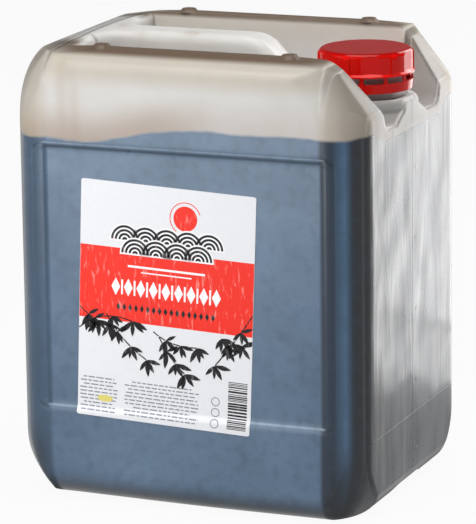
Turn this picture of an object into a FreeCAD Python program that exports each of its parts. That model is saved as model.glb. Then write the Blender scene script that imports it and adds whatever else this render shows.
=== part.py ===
import FreeCAD, Part
import math
import os

from FreeCAD import Vector

# A ten litre stacking jerrycan of soy sauce. X runs along the can towards the neck, Y across it, with
# the label on the -Y face, and Z up. The origin is the middle of the base, on the floor. Sizes in mm.

# Can as a whole
LENGTH = 235.0
WIDTH = 195.0
HEIGHT = 290.0          # top of the two carrying ridges
WALL = 1.8
CORNER_RADIUS = 25.0    # upright corners, in plan

# Base
BASE_RADIUS = 18.0          # lower edge at the neck end
HEEL_BASE_RADIUS = 24.0     # the same edge at the handle end
BASE_FADE_END = 40.0        # where the one has run out into the other
HEEL_RADIUS = 32.0          # the same end seen from the front
CHANNEL_DEPTH = 8.0         # lengthwise channel between the two feet
CHANNEL_TOP_HALF = 20.0
CHANNEL_FOOT_HALF = 40.0
CHANNEL_RADIUS = 12.0

# Label panels, sunk into front and back
PANEL_BOTTOM = 60.0
PANEL_TOP = 232.3
PANEL_DEPTH = 1.5
PANEL_SLOPE = 3.5           # height over which the panel's ledges slope in
PANEL_EDGE_RADIUS = 4.0

# Top
END_RADIUS = 24.0           # upper edge at the handle end
SIDE_RADIUS = 9.0           # upper edge along front, back and neck end
TOP_FADE_END = -67.5        # where the one has run out into the other
SHOULDER_HEIGHT = 283.0     # where the front and back faces turn in
SHOULDER_RADIUS = 6.0
RIDGE_OUTER = 76.0
RIDGE_OUTER_RADIUS = 26.0
RIDGE_INNER = 66.0
RIDGE_INNER_RADIUS = 5.0
TROUGH_FLOOR = 242.0
TROUGH_HALF = 49.0          # half width of the trough at its floor
TROUGH_RADIUS = 9.0
SLOPE_START = 88.7          # where the ridges start down towards the neck end
SLOPE_FOOT = 254.0          # height at which that slope reaches the end face
SLOPE_FOOT_RADIUS = 9.0
SLOPE_BEND = 26.0
SLOPE_SIDE_RADIUS = 22.0    # rounding between that slope and the front and back
END_WALL_TOP = -86.0        # inner face of the wall that closes the trough
END_WALL_FOOT = -79.0
END_WALL_RADIUS = 7.0

# The eight outer corners, taken off by one round hood about the can's upright axis
HOOD_RADIUS = 141.8
HOOD_BEND_LOW = 16.0
HOOD_BEND_HIGH = 269.0
HOOD_SHOULDER = 70.0
HOOD_RUN = 40.0             # the hood's 45 degree slopes, measured along either axis
DOME_RADIUS = 1131.0        # slight fall of the whole top towards its corners
DOME_TOP = 293.5

# Handle
HANDLE_HALF_WIDTH = 13.5
HANDLE_START = -97.5        # inside the end wall
HANDLE_UNDERSIDE = 268.0
HANDLE_UNDERSIDE_RADIUS = 10.0
HANDLE_BEND = 19.0          # where its top would turn down, were the bend sharp
HANDLE_BEND_RADIUS = 22.0
HANDLE_KNEE = (34.0, 274.0)
HANDLE_KNEE_RADIUS = 25.0
HANDLE_FOOT = 47.0
HANDLE_DEPTH = 12.0         # how far its leg runs on below the trough's floor
HANDLE_LEG = 21.0           # thickness of the leg that goes down
HANDLE_EDGE_RADIUS = 6.0
HANDLE_ROOT_HALF = 29.7     # half width of its flare into the end wall
HANDLE_FLARE_START = -84.0
HANDLE_FLARE_END = -73.0
HANDLE_FLARE_RADIUS = 14.0

# Neck and its pedestal
NECK_X = 86.5
PEDESTAL_RADIUS = 33.0
PEDESTAL_TOP = 256.0
PEDESTAL_EDGE_RADIUS = 4.0
PEDESTAL_DEPTH = 20.0       # how far it runs on below the trough's floor
SKIRT_RADIUS = 46.0         # flare of the pedestal, where it ends below that floor
SKIRT_DEPTH = 4.0
SKIRT_TOP = 250.5
SKIRT_TOP_RADIUS = 32.0
NECK_RADIUS = 25.0
BORE_RADIUS = 21.0
BORE_MARGIN = 1.0           # how far the bore is cut beyond the rim

# Cap
CAP_RADIUS = 29.6
CAP_FLAT = 29.0             # from the axis to each of the six flats
CAP_TOP = 285.7
CAP_EDGE_RADIUS = 3.0
CAP_SKIRT = 270.5           # lower edge of the screw cap proper
CAP_WALL = 2.4
CAP_LIP = 1.3               # how far that lower edge stands out
CAP_LIP_EDGE = 1.0
CAP_LIP_HEIGHT = 6.0
RIB_COUNT = 6
RIB_TURN = 26.0             # angle of the first rib about the neck
RIB_WIDTH = 4.0
RIB_REACH = 30.4
RIB_TOP = 285.2
RIB_RADIUS = 3.5
BAND_RADIUS = 30.2          # tear band below the cap
BAND_TOP = 266.5
BAND_BOTTOM = 260.5
BAND_WALL = 1.8
BAND_DRAFT = 0.6
BRIDGE_COUNT = 12
BRIDGE_WIDTH = 2.6
BRIDGE_THICKNESS = 1.0
BRIDGE_RADIUS = 29.8
BRIDGE_LAP = 1.0            # how far it runs into the band and the cap

# Stacking bumps on the ridges and the sockets for them below
BUMP_X = 63.0
BUMP_Y = 71.5
BUMP_RADIUS = 6.5
BUMP_HEIGHT = 1.4
BUMP_DRAFT = 2.0
BUMP_ROOT = 1.0             # how far its foot lies below the surface

# Sauce and label
SAUCE_LEVEL = 236.0
LABEL_WIDTH = 117.5
LABEL_HEIGHT = 152.5
LABEL_THICKNESS = 0.3
LABEL_CENTRE = (-12.0, 132.0)
LABEL_CORNER_RADIUS = 1.5
LABEL_TILT = -2.3

FAR = 400.0     # longer than any size of the can


def placed(plane, u, v):
    """The point (u, v) of an upright or level plane through the origin."""
    if plane == "XZ":
        return Vector(u, 0, v)
    if plane == "YZ":
        return Vector(0, u, v)
    return Vector(u, v, 0)


def moved_in(corners, inset):
    """Corners (u, v, radius) of a counterclockwise outline, with every side moved inwards."""
    result = []
    count = len(corners)
    for i, (u, v, radius) in enumerate(corners):
        before = corners[i - 1]
        after = corners[(i + 1) % count]
        a = Vector(u - before[0], v - before[1], 0).normalize()
        b = Vector(after[0] - u, after[1] - v, 0).normalize()
        normals = Vector(-a.y - b.y, a.x + b.x, 0)
        shift = normals * (inset / (1 + a.dot(b)))
        turns_left = a.x * b.y - a.y * b.x > 0
        rounded = radius - inset if turns_left else radius + inset
        result.append((u + shift.x, v + shift.y, max(rounded, 0) if radius else 0))
    return result


def outline_face(plane, corners):
    """The face inside an outline through (u, v, radius) corners, each rounded to its radius."""
    count = len(corners)
    stops = []
    for i, (u, v, radius) in enumerate(corners):
        here = Vector(u, v, 0)
        if radius <= 0:
            stops.append((here, here, here))
            continue
        to_before = (Vector(*corners[i - 1][:2], 0) - here).normalize()
        to_after = (Vector(*corners[(i + 1) % count][:2], 0) - here).normalize()
        half = to_before.getAngle(to_after) / 2
        reach = radius / math.tan(half)
        middle = (to_before + to_after).normalize() * (radius / math.sin(half) - radius)
        stops.append((here + to_before * reach, here + middle, here + to_after * reach))
    edges = []
    for i, (entry, middle, leave) in enumerate(stops):
        start, top, end = (placed(plane, p.x, p.y) for p in (entry, middle, leave))
        if (entry - leave).Length > 1e-6:
            edges.append(Part.Arc(start, top, end).toShape())
        following = stops[(i + 1) % count][0]
        if (following - leave).Length > 1e-6:
            edges.append(Part.LineSegment(end, placed(plane, following.x, following.y)).toShape())
    return Part.Face(Part.Wire(edges))


def prism(plane, corners, inset, start, end):
    """The outline with its sides moved in by the inset, drawn out square to its plane."""
    face = outline_face(plane, moved_in(corners, inset))
    axis = {"XZ": Vector(0, 1, 0), "YZ": Vector(1, 0, 0), "XY": Vector(0, 0, 1)}[plane]
    face.translate(axis * start)
    return face.extrude(axis * (end - start))


def turned(corners, x):
    """The outline of (radius, height, rounding) corners, turned about an upright axis at x."""
    solid = outline_face("XZ", corners).revolve(Vector(0, 0, 0), Vector(0, 0, 1), 360)
    solid.translate(Vector(x, 0, 0))
    return solid


def mirrored(half):
    """An outline's right half, from bottom to top, completed with its mirror image."""
    return half + [(-u, v, radius) for u, v, radius in reversed(half)]


def rounded_at(shape, height, radius_at):
    """The shape with the edges at one height rounded; radius_at(x) gives the radius along X."""
    document = FreeCAD.newDocument("rounding")
    base = document.addObject("Part::Feature", "base")
    base.Shape = shape
    fillet = document.addObject("Part::Fillet", "fillet")
    fillet.Base = base
    edges = []
    for number, edge in enumerate(shape.Edges, 1):
        ends = [edge.valueAt(edge.FirstParameter), edge.valueAt(edge.LastParameter)]
        if all(abs(end.z - height) < 1e-6 for end in ends):
            edges.append((number, radius_at(ends[0].x), radius_at(ends[1].x)))
    fillet.Edges = edges
    document.recompute()
    result = fillet.Shape.copy()
    FreeCAD.closeDocument(document.Name)
    return result


def block(inset):
    """The can before its top is shaped: upright corners, rounder edges at the handle end."""
    end = LENGTH / 2
    side = WIDTH / 2
    plan = [
        (-end, -side, CORNER_RADIUS),
        (TOP_FADE_END, -side, 0),
        (BASE_FADE_END, -side, 0),
        (end, -side, CORNER_RADIUS),
        (end, side, CORNER_RADIUS),
        (BASE_FADE_END, side, 0),
        (TOP_FADE_END, side, 0),
        (-end, side, CORNER_RADIUS),
    ]
    upright = prism("XY", plan, inset, inset, HEIGHT - inset)

    def fading(at_handle, at_neck, fade_end):
        start = CORNER_RADIUS - end

        def radius_at(x):
            share = min(max((x - start) / (fade_end - start), 0), 1)
            return at_handle + (at_neck - at_handle) * share - inset

        return radius_at

    based = rounded_at(upright, inset, fading(HEEL_BASE_RADIUS, BASE_RADIUS, BASE_FADE_END))
    return rounded_at(based, HEIGHT - inset, fading(END_RADIUS, SIDE_RADIUS, TOP_FADE_END))


def front_outline():
    """The can seen from its label: a round heel at the handle end, sloped down at the neck end."""
    end = LENGTH / 2
    return [
        (-end, 0, HEEL_RADIUS),
        (end, 0, 0),
        (end, SLOPE_FOOT, SLOPE_FOOT_RADIUS),
        (SLOPE_START, HEIGHT, SLOPE_BEND),
        (-end, HEIGHT, 0),
    ]


def falling_bar(inset, x, z, fall, radius):
    """A bar as wide as the can, with round upper edges, whose top falls towards +X from (x, z)."""
    side = WIDTH / 2
    bar = prism("YZ", mirrored([(side, -FAR, 0), (side, 0, radius)]), inset, -FAR, FAR)
    bar.rotate(Vector(0, 0, 0), Vector(0, 1, 0), fall)
    bar.translate(Vector(x, 0, z))
    return bar


def hood(inset):
    """The turned form that rounds the can's corners, where three faces meet."""
    half = [
        (HOOD_RADIUS - HOOD_RUN, HOOD_BEND_LOW - HOOD_RUN, 0),
        (HOOD_RADIUS, HOOD_BEND_LOW, HOOD_SHOULDER),
        (HOOD_RADIUS, HOOD_BEND_HIGH, HOOD_SHOULDER),
        (HOOD_RADIUS - HOOD_RUN, HOOD_BEND_HIGH + HOOD_RUN, 0),
    ]
    right = moved_in(mirrored(half), inset)[:len(half)]
    return turned([(0, right[0][1], 0), *right, (0, right[-1][1], 0)], 0)


def envelope(inset):
    """The block with its corners rounded and with the slope at the neck end."""
    dome = Part.makeSphere(DOME_RADIUS - inset, Vector(0, 0, DOME_TOP - DOME_RADIUS))
    form = block(inset).common(hood(inset)).common(dome)
    form = form.common(prism("XZ", front_outline(), inset, -FAR, FAR))
    fall = math.degrees(math.atan2(HEIGHT - SLOPE_FOOT, LENGTH / 2 - SLOPE_START))
    return form.common(falling_bar(inset, SLOPE_START, HEIGHT, fall, SLOPE_SIDE_RADIUS))


def side_outline():
    """The can seen along its length: two feet, the sunk panels, and the shoulders."""
    face = WIDTH / 2
    sunk = face - PANEL_DEPTH
    return mirrored([
        (CHANNEL_TOP_HALF, CHANNEL_DEPTH, CHANNEL_RADIUS),
        (CHANNEL_FOOT_HALF, 0, CHANNEL_RADIUS),
        (face, 0, 0),
        (face, PANEL_BOTTOM, PANEL_EDGE_RADIUS),
        (sunk, PANEL_BOTTOM + PANEL_SLOPE, PANEL_EDGE_RADIUS),
        (sunk, PANEL_TOP - PANEL_SLOPE, PANEL_EDGE_RADIUS),
        (face, PANEL_TOP, PANEL_EDGE_RADIUS),
        (face, SHOULDER_HEIGHT, SHOULDER_RADIUS),
        (RIDGE_OUTER, HEIGHT, RIDGE_OUTER_RADIUS),
    ])


def handle(inset):
    """The hollow grip: level above the trough, then bent down through its floor before the neck."""
    below = TROUGH_FLOOR - HANDLE_DEPTH
    side = [
        (HANDLE_START, HANDLE_UNDERSIDE, 0),
        (HANDLE_KNEE[0] - HANDLE_LEG, HANDLE_UNDERSIDE, HANDLE_UNDERSIDE_RADIUS),
        (HANDLE_FOOT - HANDLE_LEG, below, 0),
        (HANDLE_FOOT, below, 0),
        (*HANDLE_KNEE, HANDLE_KNEE_RADIUS),
        (HANDLE_BEND, HEIGHT, HANDLE_BEND_RADIUS),
        (HANDLE_START, HEIGHT, 0),
    ]
    plan_half = [
        (HANDLE_START, -HANDLE_ROOT_HALF, 0),
        (HANDLE_FLARE_START, -HANDLE_ROOT_HALF, 0),
        (HANDLE_FLARE_END, -HANDLE_HALF_WIDTH, HANDLE_FLARE_RADIUS),
        (NECK_X, -HANDLE_HALF_WIDTH, 0),
    ]
    plan = plan_half + [(x, -y, radius) for x, y, radius in reversed(plan_half)]
    grip = prism("XZ", side, inset, -FAR, FAR).common(prism("XY", plan, inset, 0, FAR))
    along = []
    for edge in grip.Edges:
        middle = edge.valueAt((edge.FirstParameter + edge.LastParameter) / 2)
        ends = [edge.valueAt(edge.FirstParameter), edge.valueAt(edge.LastParameter)]
        across = abs(ends[0].y + ends[1].y) < 1e-6
        level_end = abs(ends[0].x - ends[1].x) < 1e-6
        if not across and not level_end and abs(middle.y) < HANDLE_HALF_WIDTH + 1:
            along.append(edge)
    return grip.makeFillet(HANDLE_EDGE_RADIUS - inset, along)


def stacking_studs(level, grow):
    """Four low studs on a level, one at each end of either ridge."""
    radius = BUMP_RADIUS + grow
    height = BUMP_HEIGHT + grow + BUMP_ROOT
    studs = []
    for x in (-BUMP_X, BUMP_X):
        for y in (-BUMP_Y, BUMP_Y):
            foot = Vector(x, y, level - BUMP_ROOT)
            studs.append(Part.makeCone(radius, radius - BUMP_DRAFT, height, foot))
    return studs


def neck_column(radius, bottom, top):
    """A cylinder about the neck's axis."""
    return Part.makeCylinder(radius, top - bottom, Vector(NECK_X, 0, bottom))


def pedestal(inset):
    """The raised round seat of the neck, with the flared skirt that joins it to the trough."""
    seat = neck_column(PEDESTAL_RADIUS - inset, TROUGH_FLOOR - PEDESTAL_DEPTH, PEDESTAL_TOP - inset)
    seat = seat.makeFillet(PEDESTAL_EDGE_RADIUS - inset, [seat.Edges[0]])
    skirt = Part.makeCone(
        SKIRT_RADIUS - inset,
        SKIRT_TOP_RADIUS - inset,
        SKIRT_TOP - TROUGH_FLOOR + SKIRT_DEPTH,
        Vector(NECK_X, 0, TROUGH_FLOOR - SKIRT_DEPTH),
    )
    return seat.fuse(skirt)


def trough(inset):
    """What is taken out of the top between the ridges, round the handle and the pedestal."""
    over = HEIGHT + FAR
    under = TROUGH_FLOOR - PEDESTAL_DEPTH
    section = mirrored([
        (TROUGH_HALF, TROUGH_FLOOR, TROUGH_RADIUS),
        (RIDGE_INNER, HEIGHT, RIDGE_INNER_RADIUS),
        (WIDTH, HEIGHT, 0),
        (WIDTH, over, 0),
    ])
    side = [
        (END_WALL_FOOT, under, 0),
        (LENGTH, under, 0),
        (LENGTH, over, 0),
        (-LENGTH, over, 0),
        (-LENGTH, HEIGHT, 0),
        (END_WALL_TOP, HEIGHT, END_WALL_RADIUS),
        (END_WALL_FOOT, TROUGH_FLOOR, 0),
    ]
    space = prism("YZ", section, -inset, -LENGTH, LENGTH)
    space = space.common(prism("XZ", side, -inset, -FAR, FAR))
    return space.cut([handle(inset), pedestal(inset)])


def moulding(inset):
    """The form of the can with every wall moved in: 0 gives its outside, WALL gives its hollow."""
    closed = envelope(inset).common(prism("YZ", side_outline(), inset, -FAR, FAR))
    return closed.cut([trough(inset), *stacking_studs(0, inset)])


def closed_above(height):
    """Everything above a level, as a block wider than the can."""
    return Part.makeBox(FAR, FAR, FAR, Vector(-FAR / 2, -FAR / 2, height))


def canister():
    """The blow-moulded can: one shell with its hollow, the handle's hollow and the bore open."""
    rim = CAP_TOP - CAP_WALL
    below = PEDESTAL_TOP - PEDESTAL_EDGE_RADIUS - WALL
    outside = moulding(0).fuse([*stacking_studs(HEIGHT, 0), neck_column(NECK_RADIUS, below, rim)])
    bore = neck_column(BORE_RADIUS, TROUGH_FLOOR, rim + BORE_MARGIN)
    return outside.cut(moulding(WALL).fuse(bore))


def around_neck(shape, angle):
    """A shape made on the X axis at the origin, turned by an angle and moved to the neck."""
    shape.rotate(Vector(0, 0, 0), Vector(0, 0, 1), angle)
    shape.translate(Vector(NECK_X, 0, 0))
    return shape


def cap():
    """The screw cap with its ribs and lip, joined by thin bridges to the tear band below."""
    skirt = [
        (0, CAP_SKIRT, 0),
        (CAP_RADIUS, CAP_SKIRT, 0),
        (CAP_RADIUS, CAP_TOP, CAP_EDGE_RADIUS),
        (0, CAP_TOP, 0),
    ]
    corner = CAP_FLAT / math.cos(math.pi / RIB_COUNT)
    flats = []
    for i in range(RIB_COUNT):
        angle = math.radians(RIB_TURN) + i * 2 * math.pi / RIB_COUNT
        flats.append((NECK_X + corner * math.cos(angle), corner * math.sin(angle), 0))
    body = turned(skirt, NECK_X).common(prism("XY", flats, 0, 0, FAR))
    inside = NECK_RADIUS
    lip = [
        (inside, CAP_SKIRT, 0),
        (CAP_RADIUS + CAP_LIP, CAP_SKIRT, 0),
        (CAP_RADIUS + CAP_LIP, CAP_SKIRT + CAP_LIP_EDGE, 0),
        (inside, CAP_SKIRT + CAP_LIP_HEIGHT, 0),
    ]
    pieces = [turned(lip, NECK_X)]
    rib = [
        (inside, CAP_SKIRT, 0),
        (RIB_REACH, CAP_SKIRT, 0),
        (RIB_REACH, RIB_TOP, RIB_RADIUS),
        (inside, RIB_TOP, 0),
    ]
    for i in range(RIB_COUNT):
        bar = prism("XZ", rib, 0, -RIB_WIDTH / 2, RIB_WIDTH / 2)
        pieces.append(around_neck(bar, RIB_TURN + i * 360 / RIB_COUNT))
    band = [
        (BAND_RADIUS - BAND_WALL - BAND_DRAFT, BAND_BOTTOM, 0),
        (BAND_RADIUS - BAND_DRAFT, BAND_BOTTOM, 0),
        (BAND_RADIUS, BAND_TOP, 0),
        (BAND_RADIUS - BAND_WALL, BAND_TOP, 0),
    ]
    pieces.append(turned(band, NECK_X))
    bridge = [
        (BRIDGE_RADIUS - BRIDGE_THICKNESS, BAND_TOP - BRIDGE_LAP, 0),
        (BRIDGE_RADIUS, BAND_TOP - BRIDGE_LAP, 0),
        (BRIDGE_RADIUS, CAP_SKIRT + BRIDGE_LAP, 0),
        (BRIDGE_RADIUS - BRIDGE_THICKNESS, CAP_SKIRT + BRIDGE_LAP, 0),
    ]
    for i in range(BRIDGE_COUNT):
        link = prism("XZ", bridge, 0, -BRIDGE_WIDTH / 2, BRIDGE_WIDTH / 2)
        pieces.append(around_neck(link, (i + 0.5) * 360 / BRIDGE_COUNT))
    hollow = neck_column(CAP_FLAT - CAP_WALL, BAND_TOP, CAP_TOP - CAP_WALL)
    return body.fuse(pieces).cut(hollow).removeSplitter()


def label():
    """The glued front label: a thin skin that follows the sunk panel, put on slightly askew."""
    skin = prism("YZ", side_outline(), -LABEL_THICKNESS, -FAR, FAR)
    skin = skin.cut(prism("YZ", side_outline(), 0, -FAR, FAR))
    half_width = LABEL_WIDTH / 2
    half_height = LABEL_HEIGHT / 2
    corners = [(half_width, -half_height), (half_width, half_height)]
    corners = mirrored([(x, z, LABEL_CORNER_RADIUS) for x, z in corners])
    sheet = prism("XZ", corners, 0, -WIDTH, 0)
    sheet.rotate(Vector(0, 0, 0), Vector(0, 1, 0), -LABEL_TILT)
    sheet.translate(Vector(LABEL_CENTRE[0], 0, LABEL_CENTRE[1]))
    return skin.common(sheet)


def sauce():
    """The sauce, which fills the hollow up to its level."""
    return moulding(WALL).cut(closed_above(SAUCE_LEVEL))


os.makedirs("parts", exist_ok=True)
for name, make in (("canister", canister), ("sauce", sauce), ("cap", cap), ("label", label)):
    solid = make()
    litres = round(solid.Volume / 1e6, 4)
    print(name, len(solid.Solids), "solid,", litres, "litres, valid:", solid.isValid())
    solid.exportStep("parts/" + name + ".step")
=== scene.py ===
import math
import random
from types import SimpleNamespace

import bmesh
import bpy
from mathutils import Matrix, Quaternion, Vector
from mathutils.bvhtree import BVHTree


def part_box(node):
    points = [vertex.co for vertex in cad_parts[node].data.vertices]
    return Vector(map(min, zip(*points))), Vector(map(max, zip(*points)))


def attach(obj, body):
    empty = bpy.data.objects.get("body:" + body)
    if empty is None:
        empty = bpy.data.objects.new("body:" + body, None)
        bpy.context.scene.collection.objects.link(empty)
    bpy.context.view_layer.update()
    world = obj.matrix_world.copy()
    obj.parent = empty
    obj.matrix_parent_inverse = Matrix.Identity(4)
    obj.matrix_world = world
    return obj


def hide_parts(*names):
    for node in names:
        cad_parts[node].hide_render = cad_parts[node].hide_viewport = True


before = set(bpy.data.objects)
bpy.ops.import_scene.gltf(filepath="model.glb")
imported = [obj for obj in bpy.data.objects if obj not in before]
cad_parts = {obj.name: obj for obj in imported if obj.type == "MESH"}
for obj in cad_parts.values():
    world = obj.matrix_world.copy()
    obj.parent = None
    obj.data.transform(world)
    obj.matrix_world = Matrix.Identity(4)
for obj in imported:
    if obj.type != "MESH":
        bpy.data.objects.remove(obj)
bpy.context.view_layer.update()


# The can: natural high-density polyethylene, blow-moulded in one with its grip and its neck. The
# wall is milky and satin: grey-beige where the can is empty, slate blue over the dark sauce, and
# darkened round the upright corners and along the foot by painted shade.
def linear(colour):
    """An sRGB hex colour as the linear values that a socket takes."""
    parts = [int(colour[i:i + 2], 16) / 255 for i in (1, 3, 5)]
    return (*(p / 12.92 if p <= 0.04045 else ((p + 0.055) / 1.055) ** 2.4 for p in parts), 1.0)


def add(tree, kind, inputs=(), out=0, stops=(), **settings):
    """A new node with its settings, its links and a ramp's stops; gives one of its outputs."""
    node = tree.nodes.new(kind)
    for name, value in settings.items():
        setattr(node, name, value)
    for i, (position, colour) in enumerate(stops):
        elements = node.color_ramp.elements
        stop = elements[i] if i < len(elements) else elements.new(position)
        stop.position = position
        stop.color = linear(colour)
    for name, value in inputs.items() if isinstance(inputs, dict) else enumerate(inputs):
        if isinstance(value, bpy.types.NodeSocket):
            tree.links.new(value, node.inputs[name])
        else:
            node.inputs[name].default_value = linear(value) if isinstance(value, str) else value
    return node.outputs[out] if node.outputs else node


def new_material(name):
    """A material without nodes, its node tree, and the object coordinates for its patterns."""
    material = bpy.data.materials.new(name)
    material.use_nodes = True
    tree = material.node_tree
    tree.nodes.clear()
    return material, tree, add(tree, "ShaderNodeTexCoord", out="Object")


def dress(piece, material):
    """Gives a piece its one material."""
    piece.data.materials.clear()
    piece.data.materials.append(material)


SAUCE_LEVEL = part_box("sauce")[1].z
HALF_LENGTH = 0.1175
HALF_WIDTH = 0.0975
CORNER = 0.025              # radius of the upright corners, in plan
PANEL_END = 0.0925          # how far the sunk panel reaches along the can, either way
TROUGH_SIDE = 0.050         # how far the trough round the grip reaches across the can
CREASE_HEIGHT = 0.050       # the mark of the mould's insert on the neck end
SCALE_PITCH = 0.023         # one raised tick a litre, up the neck end
SCALE_FOOT = 0.0256
SCALE_SIDE = 0.006          # how far the ticks stand beside the parting line
BLOWN_EDGE = 0.005          # radius that the blown plastic gives its edges
SMOOTH = {"interpolation_type": "SMOOTHSTEP"}

# The colour over the sauce by the place round the can: 0 where a broad wall turns in, 1 where the
# narrow wall begins, and one more for every corner radius along either wall
TURN_START, TURN_END = -1.0, 2.5
# Both ramps are painted shade that darkens the wall into the corners; at the neck end the pale
# stops at 0.38 and 0.70 are painted highlights
NECK_CORNER_SHADE_AND_HIGHLIGHTS = (
    (-1.0, "#5f7790"), (-0.10, "#59718b"), (0.0, "#1a2a3b"), (0.18, "#1a2a3b"),
    (0.38, "#4d7091"), (0.50, "#1d2b3a"), (0.58, "#0d0f12"), (0.68, "#0d0f12"),
    (0.70, "#464a50"), (0.72, "#0d0f12"), (1.50, "#0b0d10"), (1.72, "#23272d"), (2.5, "#2e333a"),
)
HANDLE_CORNER_SHADE = (
    (-1.0, "#5f7790"), (-0.10, "#59718b"), (0.03, "#3b546c"), (0.50, "#33495f"),
    (0.80, "#1e2b39"), (1.50, "#1e2b39"), (2.5, "#33485c"),
)

# The sunk panel's ledges, painted as light and shade, each as its height, the half widths at which
# it starts and is full, its strength and its colour: painted shade in a band under a painted
# highlight along the rim above, and a painted highlight along the shelf below
LEDGE_SHADE_AND_HIGHLIGHTS = (
    (0.2296, 0.0015, 0.0004, 0.70, "#12202e"),
    (0.2320, 0.0009, 0.0002, 0.50, "#aebccb"),
    (0.0622, 0.0010, 0.0003, 0.55, "#a9bdd2"),
)


def place_on_can(tree, place):
    """The sockets that tell where on the can a point is, and how wet the wall is there."""
    at = SimpleNamespace(point=place)
    at.x, at.y, at.z = (add(tree, "ShaderNodeSeparateXYZ", [place], out=axis) for axis in "XYZ")
    at.x_size = add(tree, "ShaderNodeMath", [at.x], operation="ABSOLUTE")
    at.y_size = add(tree, "ShaderNodeMath", [at.y], operation="ABSOLUTE")
    at.end = add(tree, "ShaderNodeMapRange", [at.x, HALF_LENGTH - 0.002, HALF_LENGTH - 0.0005])
    at.broad_side = add(tree, "ShaderNodeMapRange", [
        at.y_size, TROUGH_SIDE, TROUGH_SIDE + 0.022,
    ], **SMOOTH)

    # round the can
    at.into = add(tree, "ShaderNodeMath", [at.x_size, HALF_LENGTH - CORNER], operation="SUBTRACT")
    across = add(tree, "ShaderNodeMath", [at.y_size, HALF_WIDTH - CORNER], operation="SUBTRACT")
    at.corner_x = add(tree, "ShaderNodeMath", [at.into, 0.0], operation="MAXIMUM")
    at.corner_y = add(tree, "ShaderNodeMath", [across, 0.0], operation="MAXIMUM")
    angle = add(tree, "ShaderNodeMath", [at.corner_x, at.corner_y], operation="ARCTAN2")
    angle = add(tree, "ShaderNodeMath", [angle, math.pi / 2], operation="DIVIDE")
    broad = add(tree, "ShaderNodeMath", [at.into, 0.0], operation="MINIMUM")
    narrow = add(tree, "ShaderNodeMath", [across, 0.0], operation="MINIMUM")
    beyond = add(tree, "ShaderNodeMath", [broad, narrow], operation="SUBTRACT")
    beyond = add(tree, "ShaderNodeMath", [beyond, CORNER], operation="DIVIDE")
    at.turn = add(tree, "ShaderNodeMath", [angle, beyond], operation="ADD")

    # the film of sauce that clings to the broad sides above the level, higher towards the neck
    ragged = add(tree, "ShaderNodeTexNoise", {"Vector": place, "Scale": 1 / 0.035, "Detail": 2.0})
    ragged = add(tree, "ShaderNodeMapRange", [ragged, 0.3, 0.7, -0.0012, 0.0012])
    lift = add(tree, "ShaderNodeMapRange", [at.x, -0.070, 0.005, -0.0014, 0.0085], **SMOOTH)
    film = add(tree, "ShaderNodeMath", [ragged, lift], operation="ADD")
    film = add(tree, "ShaderNodeMath", [film, at.broad_side], operation="MULTIPLY")
    line = add(tree, "ShaderNodeMath", [film, SAUCE_LEVEL], operation="ADD")
    at.above_film = add(tree, "ShaderNodeMath", [at.z, line], operation="SUBTRACT")
    at.wet = add(tree, "ShaderNodeMapRange", [at.above_film, 0.0012, -0.0012], **SMOOTH)

    # soft clouds of thicker and thinner plastic
    cloud = add(tree, "ShaderNodeTexNoise", {"Vector": place, "Scale": 1 / 0.050, "Detail": 3.0})
    at.cloud = add(tree, "ShaderNodeMapRange", [cloud, 0.3, 0.7])
    return at


def colour_over_sauce(tree, at):
    """Slate blue, darkened by painted shade round the corners, most at the neck end, and along the
    foot, with painted highlights and shade at the ledges and on the neck end's corner.
    """
    share = add(tree, "ShaderNodeMapRange", [at.turn, TURN_START, TURN_END])
    at_handle, at_neck = (
        add(tree, "ShaderNodeValToRGB", [share], stops=[
            ((turn - TURN_START) / (TURN_END - TURN_START), colour) for turn, colour in corner
        ]) for corner in (HANDLE_CORNER_SHADE, NECK_CORNER_SHADE_AND_HIGHLIGHTS)
    )
    neck_half = add(tree, "ShaderNodeMapRange", [at.x, -0.01, 0.01])
    blue = add(tree, "ShaderNodeMix", {
        0: neck_half, 6: at_handle, 7: at_neck,
    }, out=2, data_type="RGBA")
    # painted shade: a near-black band along the foot, and a dark band low on the corners
    foot = add(tree, "ShaderNodeMapRange", [at.z, 0.018, 0.002], **SMOOTH)
    low = add(tree, "ShaderNodeMapRange", [at.z, 0.060, 0.022, 0.0, 0.75], **SMOOTH)
    cornered = add(tree, "ShaderNodeMapRange", [at.turn, -0.2, 0.3], **SMOOTH)
    low = add(tree, "ShaderNodeMath", [low, cornered], operation="MULTIPLY")
    layers = [(foot, "#100e0e"), (low, "#12161c")]

    flat = add(tree, "ShaderNodeMapRange", [at.x_size, PANEL_END + 0.0025, PANEL_END])
    # painted shade and painted highlights along the ledges
    for height, start, full, strength, tint in LEDGE_SHADE_AND_HIGHLIGHTS:
        ledge_light = add(tree, "ShaderNodeMath", [at.z, height], operation="SUBTRACT")
        ledge_light = add(tree, "ShaderNodeMath", [ledge_light], operation="ABSOLUTE")
        ledge_light = add(tree, "ShaderNodeMapRange", [ledge_light, start, full, 0.0, strength])
        ledge_light = add(tree, "ShaderNodeMath", [ledge_light, flat], operation="MULTIPLY")
        layers.append((ledge_light, tint))

    shade = add(tree, "ShaderNodeMapRange", [at.cloud, 0.0, 1.0, 0.0, 0.30])
    mottle = add(tree, "ShaderNodeTexNoise", {
        "Vector": at.point, "Scale": 1 / 0.007, "Detail": 3.0,
    })
    mottle = add(tree, "ShaderNodeMapRange", [mottle, 0.45, 0.75, 0.0, 0.30])
    for layer, tint in (*layers, (shade, "#24364a"), (mottle, "#2b3d51")):
        blue = add(tree, "ShaderNodeMix", {0: layer, 6: blue, 7: tint}, out=2, data_type="RGBA")
    return blue


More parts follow.
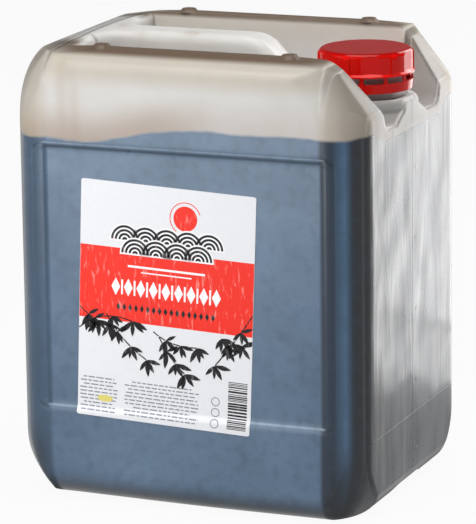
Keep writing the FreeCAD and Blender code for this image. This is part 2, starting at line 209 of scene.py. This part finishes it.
def colour_of_empty_part(tree, at):
    """Beige-white, with old sauce in runs and over the film, darker beige towards the top and round
    the corners, and painted shade along the crests.
    """
    tall = add(tree, "ShaderNodeMapping", {"Vector": at.point, "Scale": (1.0, 1.0, 0.12)})
    runs = add(tree, "ShaderNodeTexNoise", {"Vector": tall, "Scale": 1 / 0.030, "Detail": 2.0})
    runs = add(tree, "ShaderNodeMapRange", [runs, 0.56, 0.72, 0.0, 0.45], **SMOOTH)
    near = add(tree, "ShaderNodeMapRange", [at.above_film, 0.026, 0.001, 0.0, 0.7], **SMOOTH)
    fading = add(tree, "ShaderNodeMapRange", [at.x, -0.02, 0.03, 1.0, 0.35])
    near = add(tree, "ShaderNodeMath", [near, fading], operation="MULTIPLY")
    # a darker beige towards the top and round the corners
    edge = add(tree, "ShaderNodeMapRange", [at.z, 0.266, 0.280], **SMOOTH)
    cornered = add(tree, "ShaderNodeMapRange", [at.turn, -0.2, 0.2], **SMOOTH)
    edge = add(tree, "ShaderNodeMath", [edge, cornered], operation="MAXIMUM")
    edge = add(tree, "ShaderNodeMath", [edge, at.broad_side], operation="MULTIPLY")
    edge = add(tree, "ShaderNodeMath", [edge, 0.5], operation="MULTIPLY")
    # painted shade: a dark brown line along the crests of the ridges and the grip
    crest_shade = add(tree, "ShaderNodeMapRange", [at.z, 0.2858, 0.2885, 0.0, 0.9], **SMOOTH)
    ridge = add(tree, "ShaderNodeMapRange", [
        at.y_size, TROUGH_SIDE - 0.010, TROUGH_SIDE + 0.005,
    ])
    crest_shade = add(tree, "ShaderNodeMath", [crest_shade, ridge], operation="MULTIPLY")

    pale = add(tree, "ShaderNodeMix", {
        0: at.cloud, 6: "#f2f2f1", 7: "#e8e6e2",
    }, out=2, data_type="RGBA")
    stains_and_shade = ((runs, "#b89b80"), (near, "#bfa897"), (edge, "#cbbda6"), (crest_shade, "#6b523c"))
    for overlay, tint in stains_and_shade:
        pale = add(tree, "ShaderNodeMix", {0: overlay, 6: pale, 7: tint}, out=2, data_type="RGBA")
    return pale


def litre_ticks(tree, at):
    """The litre scale: a column of short ticks up the neck end, beside the parting line."""
    rung = add(tree, "ShaderNodeMath", [at.z, SCALE_FOOT], operation="SUBTRACT")
    rung = add(tree, "ShaderNodeMath", [rung, SCALE_PITCH], operation="PINGPONG")
    tick = add(tree, "ShaderNodeMapRange", [rung, 0.0010, 0.0005])
    beside = add(tree, "ShaderNodeMath", [at.y, SCALE_SIDE], operation="SUBTRACT")
    beside = add(tree, "ShaderNodeMath", [beside], operation="ABSOLUTE")
    beside = add(tree, "ShaderNodeMapRange", [beside, 0.0018, 0.0014])
    tick = add(tree, "ShaderNodeMath", [tick, beside], operation="MULTIPLY")
    return add(tree, "ShaderNodeMath", [tick, at.end], operation="MULTIPLY")


def wall_relief(tree, at, ticks):
    """The wall's normal, with soft edges, and with the low relief of a blown wall on it."""
    # streaks, the parting line and the mark of the mould's insert
    upright = add(tree, "ShaderNodeMapping", {"Vector": at.point, "Scale": (1.0, 1.0, 0.16)})
    streaks = add(tree, "ShaderNodeTexNoise", {
        "Vector": upright, "Scale": 1 / 0.026, "Detail": 4.0, "Distortion": 1.5,
    })
    streaks = add(tree, "ShaderNodeMath", [streaks, at.end], operation="MULTIPLY")
    seam = add(tree, "ShaderNodeMapRange", [at.y_size, 0.0006, 0.0002])
    crease = add(tree, "ShaderNodeMath", [at.z, CREASE_HEIGHT], operation="SUBTRACT")
    crease = add(tree, "ShaderNodeMath", [crease], operation="ABSOLUTE")
    crease = add(tree, "ShaderNodeMapRange", [crease, 0.0006, 0.0002])
    crease = add(tree, "ShaderNodeMath", [crease, at.end], operation="MULTIPLY")
    ridges = add(tree, "ShaderNodeMath", [seam, crease], operation="MAXIMUM")

    # long soft waves, deeper at the neck end, and a fine grain from the mould
    waves = add(tree, "ShaderNodeTexNoise", {
        "Vector": at.point, "Scale": 1 / 0.045, "Detail": 1.0,
    })
    deeper = add(tree, "ShaderNodeMapRange", [at.end, 0.0, 1.0, 1.0, 4.0])
    waves = add(tree, "ShaderNodeMath", [waves, deeper], operation="MULTIPLY")
    grain = add(tree, "ShaderNodeTexNoise", {
        "Vector": at.point, "Scale": 1 / 0.0025, "Detail": 2.0,
    })
    relief = add(tree, "ShaderNodeMath", [waves, 0.0010], operation="MULTIPLY")
    for part, height in ((grain, 0.00005), (streaks, 0.0007), (ridges, 0.0006), (ticks, 0.0012)):
        part = add(tree, "ShaderNodeMath", [part, height], operation="MULTIPLY")
        relief = add(tree, "ShaderNodeMath", [relief, part], operation="ADD")

    # the sunk panel runs out where the corners begin
    radial = add(tree, "ShaderNodeCombineXYZ", [at.corner_x, at.corner_y, 0.0])
    radial = add(tree, "ShaderNodeVectorMath", [radial], out="Value", operation="LENGTH")
    sunk = add(tree, "ShaderNodeMath", [CORNER, radial], operation="SUBTRACT")
    margin = add(tree, "ShaderNodeMapRange", [at.into, -0.0025, 0.0030], **SMOOTH)
    sunk = add(tree, "ShaderNodeMath", [sunk, margin], operation="MULTIPLY")
    normal = add(tree, "ShaderNodeBevel", {"Radius": BLOWN_EDGE}, samples=6)
    for height, strength in ((sunk, 1.0), (relief, 0.6)):
        normal = add(tree, "ShaderNodeBump", {
            "Height": height, "Distance": 1.0, "Strength": strength, "Normal": normal,
        })
    return normal


def can_plastic():
    material, tree, place = new_material("natural_blow_moulded_polyethylene")
    at = place_on_can(tree, place)
    blue = colour_over_sauce(tree, at)
    pale = colour_of_empty_part(tree, at)
    colour = add(tree, "ShaderNodeMix", {0: at.wet, 6: pale, 7: blue}, out=2, data_type="RGBA")
    ticks = litre_ticks(tree, at)
    # the raised litre ticks coloured near black
    tick_darkening = add(tree, "ShaderNodeMath", [ticks, 0.6], operation="MULTIPLY")
    colour = add(tree, "ShaderNodeMix", {
        0: tick_darkening, 6: colour, 7: "#101112",
    }, out=2, data_type="RGBA")
    normal = wall_relief(tree, at, ticks)

    gloss = add(tree, "ShaderNodeMapRange", [at.cloud, 0.0, 1.0, 0.26, 0.33])
    smoother = add(tree, "ShaderNodeMapRange", [at.end, 0.0, 1.0, 1.0, 0.88])
    gloss = add(tree, "ShaderNodeMath", [gloss, smoother], operation="MULTIPLY")
    wall = add(tree, "ShaderNodeBsdfPrincipled", {
        "Base Color": colour, "Roughness": gloss, "Normal": normal, "IOR": 1.50,
    })
    through = add(tree, "ShaderNodeBsdfTranslucent", [colour, normal])
    clear = add(tree, "ShaderNodeBsdfTransparent")
    milky = add(tree, "ShaderNodeMapRange", [at.wet, 0.0, 1.0, 0.40, 0.02])
    wall = add(tree, "ShaderNodeMixShader", [milky, wall, through])
    clear_share = add(tree, "ShaderNodeMapRange", [at.wet, 0.0, 1.0, 0.08, 0.04])
    wall = add(tree, "ShaderNodeMixShader", [clear_share, wall, clear])
    add(tree, "ShaderNodeOutputMaterial", [wall])
    return material


dress(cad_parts["canister"], can_plastic())


# The sauce: ten litres of dark soy sauce. It wets the inside of the wall, so that it reaches a hair
# into the plastic and shows no air gap.
def merged_copy(name, node):
    """A solid's mesh again as a new piece, with its loose triangles joined."""
    mesh = node.data.copy()
    mesh.materials.clear()
    form = bmesh.new()
    form.from_mesh(mesh)
    bmesh.ops.remove_doubles(form, verts=form.verts, dist=1e-6)
    form.to_mesh(mesh)
    form.free()
    piece = bpy.data.objects.new(name, mesh)
    bpy.context.scene.collection.objects.link(piece)
    return piece


def soy_sauce():
    material, tree, place = new_material("dark_soy_sauce")
    cloud = add(tree, "ShaderNodeTexNoise", {"Vector": place, "Scale": 1 / 0.040})
    colour = add(tree, "ShaderNodeMix", {
        0: cloud, 6: "#1a0d08", 7: "#24120a",
    }, out=2, data_type="RGBA")
    roughness = add(tree, "ShaderNodeMapRange", [cloud, 0.3, 0.7, 0.08, 0.14])
    liquid = add(tree, "ShaderNodeBsdfPrincipled", {
        "Base Color": colour, "Roughness": roughness, "IOR": 1.38,
    })
    add(tree, "ShaderNodeOutputMaterial", [liquid])
    return material


SEEP = 0.0004               # how far the sauce reaches into the wall
sauce = merged_copy("sauce_fill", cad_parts["sauce"])
form = bmesh.new()
form.from_mesh(sauce.data)
for vertex in form.verts:
    vertex.co += vertex.normal * SEEP
form.to_mesh(sauce.data)
form.free()
dress(sauce, soy_sauce())
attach(sauce, "root")
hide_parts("sauce")


# The cap: red polyethylene, injection-moulded and glossy, screwed down on the neck, with the tear
# band that its first opening leaves behind. Its lid is painted a deeper red than its ribbed side,
# as painted shade.
LID_FOOT, LID_TOP = 0.2835, 0.2855


def cap_plastic():
    material, tree, place = new_material("glossy_red_polyethylene")
    cloud = add(tree, "ShaderNodeTexNoise", {"Vector": place, "Scale": 1 / 0.012, "Detail": 2.0})
    colour = add(tree, "ShaderNodeMix", {
        0: cloud, 6: "#df0a03", 7: "#e80e05",
    }, out=2, data_type="RGBA")
    # painted shade: the lid darker red than the side
    lid_shade = add(tree, "ShaderNodeSeparateXYZ", [place], out="Z")
    lid_shade = add(tree, "ShaderNodeMapRange", [lid_shade, LID_FOOT, LID_TOP], **SMOOTH)
    colour = add(tree, "ShaderNodeMix", {0: lid_shade, 6: colour, 7: "#960402"}, out=2, data_type="RGBA")
    roughness = add(tree, "ShaderNodeMapRange", [cloud, 0.3, 0.7, 0.05, 0.09])
    relief = add(tree, "ShaderNodeMath", [cloud, 0.0003], operation="MULTIPLY")
    normal = add(tree, "ShaderNodeBump", {"Height": relief, "Distance": 1.0, "Strength": 0.2})
    shell = add(tree, "ShaderNodeBsdfPrincipled", {
        "Base Color": colour, "Roughness": roughness, "Normal": normal, "IOR": 1.52,
        "Specular IOR Level": 0.15,
    })
    add(tree, "ShaderNodeOutputMaterial", [shell])
    return material


dress(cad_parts["cap"], cap_plastic())


# The label: coated white paper, offset-printed, glued into the sunk panel a little askew. It has
# the fields of colour of such labels, with waves, lozenges and bamboo in place of any words.
def coated_paper():
    material, tree, place = new_material("coated_label_paper")
    fibre = add(tree, "ShaderNodeTexNoise", {"Vector": place, "Scale": 1 / 0.003, "Detail": 2.0})
    colour = add(tree, "ShaderNodeMix", {
        0: fibre, 6: "#e6e7ea", 7: "#e0e1e6",
    }, out=2, data_type="RGBA")
    roughness = add(tree, "ShaderNodeMapRange", [fibre, 0.3, 0.7, 0.42, 0.50])
    paper = add(tree, "ShaderNodeBsdfPrincipled", {
        "Base Color": colour, "Roughness": roughness, "Specular IOR Level": 0.2,
    })
    add(tree, "ShaderNodeOutputMaterial", [paper])
    return material


def printing_ink(name, solid, worn, wear):
    """A flat ink, scuffed through to a second colour in short fine scratches."""
    material, tree, place = new_material(name)
    tall = add(tree, "ShaderNodeMapping", {
        "Vector": place, "Rotation": (0, math.radians(12), 0), "Scale": (1.0, 1.0, 0.25),
    })
    scuff = add(tree, "ShaderNodeTexNoise", {"Vector": tall, "Scale": 1 / 0.0022, "Detail": 3.0})
    scuff = add(tree, "ShaderNodeMapRange", [scuff, 0.58, 0.74, 0.0, wear])
    colour = add(tree, "ShaderNodeMix", {0: scuff, 6: solid, 7: worn}, out=2, data_type="RGBA")
    roughness = add(tree, "ShaderNodeMapRange", [scuff, 0.0, 1.0, 0.40, 0.52])
    ink = add(tree, "ShaderNodeBsdfPrincipled", {
        "Base Color": colour, "Roughness": roughness, "Specular IOR Level": 0.2,
    })
    add(tree, "ShaderNodeOutputMaterial", [ink])
    return material


dress(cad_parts["label"], coated_paper())

LABEL_MIDDLE = Vector((-0.012, 0.0, 0.132))
LABEL_TILT = math.radians(2.3)
SHEET_EDGES = (             # each one's distance from the middle, in millimetres, and its side
    (58.6, (1, 0, 0)), (58.6, (-1, 0, 0)), (76.1, (0, 1, 0)), (76.1, (0, -1, 0)),
)
ON_LABEL = (
    Matrix.Translation(LABEL_MIDDLE)
    @ Matrix.Rotation(LABEL_TILT, 4, "Y")
    @ Matrix.Rotation(math.radians(90), 4, "X")
    @ Matrix.Scale(0.001, 4)
)
label_copy = merged_copy("label_surface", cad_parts["label"])
form = bmesh.new()
form.from_mesh(label_copy.data)
label_surface = BVHTree.FromBMesh(form)
form.free()
bpy.data.objects.remove(label_copy)


def bar(form, left, low, right, high):
    """A rectangle between two corners, in millimetres from the label's middle."""
    made = bmesh.ops.create_grid(form, x_segments=1, y_segments=1, size=0.5)["verts"]
    size = Vector((right - left, high - low, 1))
    bmesh.ops.scale(form, vec=size, verts=made)
    bmesh.ops.translate(form, vec=((left + right) / 2, (low + high) / 2, 0), verts=made)
    return made


def lozenge(form, u, w, width, height):
    """A lozenge about (u, w)."""
    made = bmesh.ops.create_circle(form, cap_ends=True, segments=4, radius=0.5)["verts"]
    bmesh.ops.scale(form, vec=(width, height, 1), verts=made)
    bmesh.ops.translate(form, vec=(u, w, 0), verts=made)


def disc(form, u, w, radius, flat=1.0):
    """A disc about (u, w), or an oval where it is flattened."""
    made = bmesh.ops.create_circle(form, cap_ends=True, segments=32, radius=radius)["verts"]
    bmesh.ops.scale(form, vec=(1, flat, 1), verts=made)
    bmesh.ops.translate(form, vec=(u, w, 0), verts=made)


def arc(form, u, w, inner, outer, start, sweep):
    """Part of a ring, from a start angle on through a sweep, both in degrees."""
    before = set(form.verts)
    ends = [form.verts.new((radius, 0, 0)) for radius in (inner, outer)]
    side = form.edges.new(ends)
    turn = Matrix.Rotation(math.radians(start), 3, "Z")
    bmesh.ops.rotate(form, cent=(0, 0, 0), matrix=turn, verts=ends)
    bmesh.ops.spin(
        form, geom=[*ends, side], cent=(0, 0, 0), axis=(0, 0, 1), dvec=(0, 0, 0),
        angle=math.radians(sweep), steps=max(6, int(sweep / 8)), use_merge=sweep >= 360,
    )
    made = [vertex for vertex in form.verts if vertex not in before]
    bmesh.ops.translate(form, vec=(u, w, 0), verts=made)


def printed(name, form, lift, ink):
    """Trims flat shapes to the label and lays them onto it as one film of ink."""
    for reach, outwards in SHEET_EDGES:
        bmesh.ops.bisect_plane(
            form, geom=[*form.verts, *form.edges, *form.faces], dist=1e-5,
            plane_co=Vector(outwards) * reach, plane_no=outwards, clear_outer=True,
        )
    bmesh.ops.transform(form, matrix=ON_LABEL, verts=form.verts)
    for vertex in form.verts:
        hit = label_surface.ray_cast(Vector((vertex.co.x, -1, vertex.co.z)), Vector((0, 1, 0)))[0]
        vertex.co.y = hit.y - lift
    for face in form.faces:
        face.normal_update()
    bmesh.ops.reverse_faces(form, faces=[face for face in form.faces if face.normal.y > 0])
    mesh = bpy.data.meshes.new(name)
    form.to_mesh(mesh)
    form.free()
    piece = bpy.data.objects.new(name, mesh)
    bpy.context.scene.collection.objects.link(piece)
    dress(piece, ink)
    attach(piece, "root")


# Red field between two white ones, and the red sun over the waves
RED_FIELD = (-58.7, -12.8, 58.7, 34.3)
SUN = (12, 57.5)
red = printing_ink("red_offset_ink", "#ee3124", "#f7958c", 0.8)
form = bmesh.new()
bar(form, *RED_FIELD)
printed("red_field", form, 0.00004, red)

form = bmesh.new()
disc(form, *SUN, 8.0)
arc(form, *SUN, 10.0, 10.6, 20, 215)
printed("red_sun", form, 0.00004, red)

# Waves in two rows, the near row in front of the far one on white paper
FAN_RADIUS = 9.4
FAN_STEP = 14.2
FAN_MARGIN = 1.0            # white paper left round each fan
FAN_LINE = 1.5
FAN_ROWS = ((5, 39.8, 0.00007), (4, 31.6, 0.00013))
white = printing_ink("white_paper_reserve", "#f3f3f6", "#f0a49c", 0.5)
black = printing_ink("black_offset_ink", "#1d1c1f", "#8f8d8f", 0.7)
for count, w, lift in FAN_ROWS:
    fans = [(i - (count - 1) / 2) * FAN_STEP for i in range(count)]
    form = bmesh.new()
    for u in fans:
        reach = FAN_RADIUS + FAN_MARGIN
        arc(form, u, w, 0.01, reach, 0, 180)
        bar(form, u - reach, w - FAN_MARGIN, u + reach, w)
    printed(f"wave_ground_{count}", form, lift, white)
    form = bmesh.new()
    for u in fans:
        for outer in (FAN_RADIUS, 6.9, 4.4, 1.9):
            arc(form, u, w, max(outer - FAN_LINE, 0.01), outer, 0, 180)
    printed(f"wave_lines_{count}", form, lift + 0.00003, black)

# Lozenges and bars in white, and a row of small dark darts below them
LOZENGES = 9
DARTS = 17
form = bmesh.new()
for i in range(LOZENGES):
    u = -34 + 8.5 * i
    lozenge(form, u, 9.4, 6.0, 11.4)
    if i < LOZENGES - 1:
        bar(form, u + 3.6, 4.6, u + 4.9, 14.2)
bar(form, -26, 22.6, 26, 24.0)
bar(form, -17, 19.6, 17, 20.4)
printed("white_lozenges", form, 0.00007, white)

form = bmesh.new()
for i in range(DARTS):
    u = -32 + 4 * i
    lozenge(form, u, -3.4, 2.7, 5.0)
printed("dark_darts", form, 0.00007, black)

# Bamboo sprigs: thin jointed stems with hanging leaves, over the red field's lower edge
chance = random.Random(7)


def leaf(form, u, w, length, angle):
    """A lance-shaped leaf from its stalk at (u, w), pointing at an angle in degrees."""
    made = bmesh.ops.create_circle(form, cap_ends=True, segments=14, radius=0.5)["verts"]
    for vertex in made:
        vertex.co.y *= 1 - 2 * abs(vertex.co.x) ** 1.5 * 0.8
    bmesh.ops.scale(form, vec=(length, length * 0.30, 1), verts=made)
    bmesh.ops.translate(form, vec=(length / 2, 0, 0), verts=made)
    turn = Matrix.Rotation(math.radians(angle), 3, "Z")
    bmesh.ops.rotate(form, cent=(0, 0, 0), matrix=turn, verts=made)
    bmesh.ops.translate(form, vec=(u, w, 0), verts=made)


SPRIGS = (                  # where each starts, bends and ends
    ((-58.5, -20.0), (-44.0, -6.0), (-22.0, -12.0)),
    ((-40.0, -9.0), (-30.0, -26.0), (-12.0, -36.0)),
    ((-58.5, -6.0), (-50.0, -14.0), (-38.0, -16.0)),
    ((-8.0, -17.0), (4.0, -26.0), (22.0, -24.0)),
    ((-4.0, -20.0), (4.0, -34.0), (14.0, -42.0)),
    ((58.5, 1.0), (48.0, -16.0), (34.0, -34.0)),
    ((58.5, -18.0), (48.0, -22.0), (38.0, -16.0)),
)
STEM_JOINTS = 6
STEM_HALF = 0.38
STEM_GAP = 0.5
form = bmesh.new()
for start, bend, tip in SPRIGS:
    points = []
    for i in range(STEM_JOINTS + 1):
        t = i / STEM_JOINTS
        points.append([
            (1 - t) ** 2 * a + 2 * t * (1 - t) * b + t ** 2 * c for a, b, c in zip(start, bend, tip)
        ])
    for i, ((u, w), (to_u, to_w)) in enumerate(zip(points, points[1:])):
        length = math.hypot(to_u - u, to_w - w) - STEM_GAP
        turn = Matrix.Rotation(math.atan2(to_w - w, to_u - u), 3, "Z")
        joint = bar(form, 0, -STEM_HALF, length, STEM_HALF)
        bmesh.ops.rotate(form, cent=(0, 0, 0), matrix=turn, verts=joint)
        bmesh.ops.translate(form, vec=(u, w, 0), verts=joint)
        if i % 2:
            for spread in (-52, -88, -124, 30 if i < 3 else -20):
                length = chance.uniform(7.5, 11.5)
                leaf(form, to_u, to_w, length, spread + chance.uniform(-12, 12))
printed("bamboo_sprigs", form, 0.00016, black)

# Plain dashes in two columns where such a label has its small print, bars for the till, and rings
DASH_COLUMNS = ((-44.5, 13.0, -51.5, -73.0), (-1.5, 26.0, -51.5, -73.5))
DASH_HALF = 0.42
DASH_GAP = 0.9
DASH_PITCH = 2.35
grey = printing_ink("grey_offset_ink", "#8c8f98", "#c9cbd1", 0.5)
form = bmesh.new()
for centre, half, top, low in DASH_COLUMNS:
    w = top
    while w > low:
        reach = half * chance.uniform(0.72, 1.0)
        u = centre - reach
        while u < centre + reach:
            word = min(chance.uniform(1.6, 5.2), centre + reach - u)
            bar(form, u, w - DASH_HALF, u + word, w + DASH_HALF)
            u += word + DASH_GAP
        w -= DASH_PITCH
printed("small_dashes", form, 0.00005, grey)

TILL_LEFT, TILL_RIGHT = 43.4, 56.2
TILL_TOP, TILL_FOOT = -43.0, -73.6
form = bmesh.new()
w = TILL_TOP
while w > TILL_FOOT:
    line = chance.choice((0.45, 0.45, 0.8, 1.2))
    bar(form, TILL_LEFT, w - line, TILL_RIGHT, w)
    w -= line + chance.choice((0.4, 0.6, 0.9))
printed("till_bars", form, 0.00005, black)

form = bmesh.new()
for w in (-57.0, -64.0, -71.0):
    arc(form, 35.0, w, 2.3, 2.9, 0, 360)
printed("small_rings", form, 0.00005, grey)

yellow = printing_ink("yellow_offset_ink", "#dcd074", "#f0ecc4", 0.6)
form = bmesh.new()
disc(form, -40.0, -64.4, 5.2, 0.42)
printed("yellow_oval", form, 0.00009, yellow)


# The studio: a pale painted floor, a screen low in front to the left, which gives the label side
# its sheen, a tall screen over a dimmer low one behind the neck end, which that end mirrors, and
# soft lights above and behind.
WHITE_SHARE = 0.94          # the rest is lit paint, which keeps the shadow


def floor_paint():
    material, tree, place = new_material("pale_floor_paint")
    grain = add(tree, "ShaderNodeTexNoise", {"Vector": place, "Scale": 1 / 0.002})
    colour = add(tree, "ShaderNodeMix", {
        0: grain, 6: "#a9a9a8", 7: "#a3a3a2",
    }, out=2, data_type="RGBA")
    lit = add(tree, "ShaderNodeBsdfDiffuse", [colour])
    white = add(tree, "ShaderNodeEmission", ["#ffffff", 1.0])
    seen = add(tree, "ShaderNodeLightPath", out="Is Camera Ray")
    for kind in ("Is Glossy Ray", "Is Transmission Ray"):
        ray = add(tree, "ShaderNodeLightPath", out=kind)
        seen = add(tree, "ShaderNodeMath", [seen, ray], operation="MAXIMUM")
    share = add(tree, "ShaderNodeMath", [seen, WHITE_SHARE], operation="MULTIPLY")
    add(tree, "ShaderNodeOutputMaterial", [add(tree, "ShaderNodeMixShader", [share, lit, white])])
    return material


FLOOR_SIZE = 12.0
form = bmesh.new()
bmesh.ops.create_grid(form, x_segments=1, y_segments=1, size=FLOOR_SIZE / 2)
floor_mesh = bpy.data.meshes.new("floor")
form.to_mesh(floor_mesh)
form.free()
floor = bpy.data.objects.new("floor", floor_mesh)
dress(floor, floor_paint())
bpy.context.scene.collection.objects.link(floor)


def soft_light(name, place, aim, size, power):
    """A rectangular soft light that faces a point."""
    lamp = bpy.data.lights.new(name, "AREA")
    lamp.shape = "RECTANGLE"
    lamp.size, lamp.size_y = size
    lamp.energy = power
    holder = bpy.data.objects.new(name, lamp)
    bpy.context.scene.collection.objects.link(holder)
    holder.location = place
    holder.rotation_euler = (Vector(place) - Vector(aim)).to_track_quat("Z", "Y").to_euler()


MIDDLE = (0, 0, 0.15)
soft_light("front_screen", (-0.28, -0.62, 0.27), MIDDLE, (0.6, 0.5), 2.9)
soft_light("end_screen", (0.185, 0.25, 0.235), (0.15, 0.0, 0.215), (0.16, 0.39), 0.60)
soft_light("low_end_screen", (0.185, 0.25, 0.020), (0.15, 0.0, 0.0), (0.16, 0.04), 0.045)
soft_light("top_light", (0.1, -0.5, 2.1), MIDDLE, (1.6, 1.6), 46)
soft_light("back_light", (0.7, 1.4, 1.2), MIDDLE, (1.0, 0.8), 14)

WORLD_LIGHT = 0.16
world = bpy.data.worlds.new("studio")
world.use_nodes = True
bpy.context.scene.world = world
world.node_tree.nodes.clear()
sky = add(world.node_tree, "ShaderNodeBackground", ["#ffffff", WORLD_LIGHT])
add(world.node_tree, "ShaderNodeOutputWorld", [sky])


# The camera looks at the label from the neck end's side and a little from above, with a long lens.
CAMERA_TURN = math.radians(21.925)
CAMERA_RISE = math.radians(12.918)
CAMERA_ROLL = math.radians(-0.737)
CAMERA_DISTANCE = 2.473
back = Vector((
    math.sin(CAMERA_TURN) * math.cos(CAMERA_RISE),
    -math.cos(CAMERA_TURN) * math.cos(CAMERA_RISE),
    math.sin(CAMERA_RISE),
))
camera = bpy.data.objects.new("camera", bpy.data.cameras.new("camera"))
bpy.context.scene.collection.objects.link(camera)
camera.location = Vector(MIDDLE) + back * CAMERA_DISTANCE
camera.rotation_mode = "QUATERNION"
camera.rotation_quaternion = back.to_track_quat("Z", "Y") @ Quaternion((0, 0, 1), CAMERA_ROLL)
camera.data.lens = 263.8
camera.data.shift_x = -0.0045
camera.data.shift_y = -0.0280
bpy.context.scene.camera = camera
bpy.context.scene.view_settings.view_transform = "Standard"
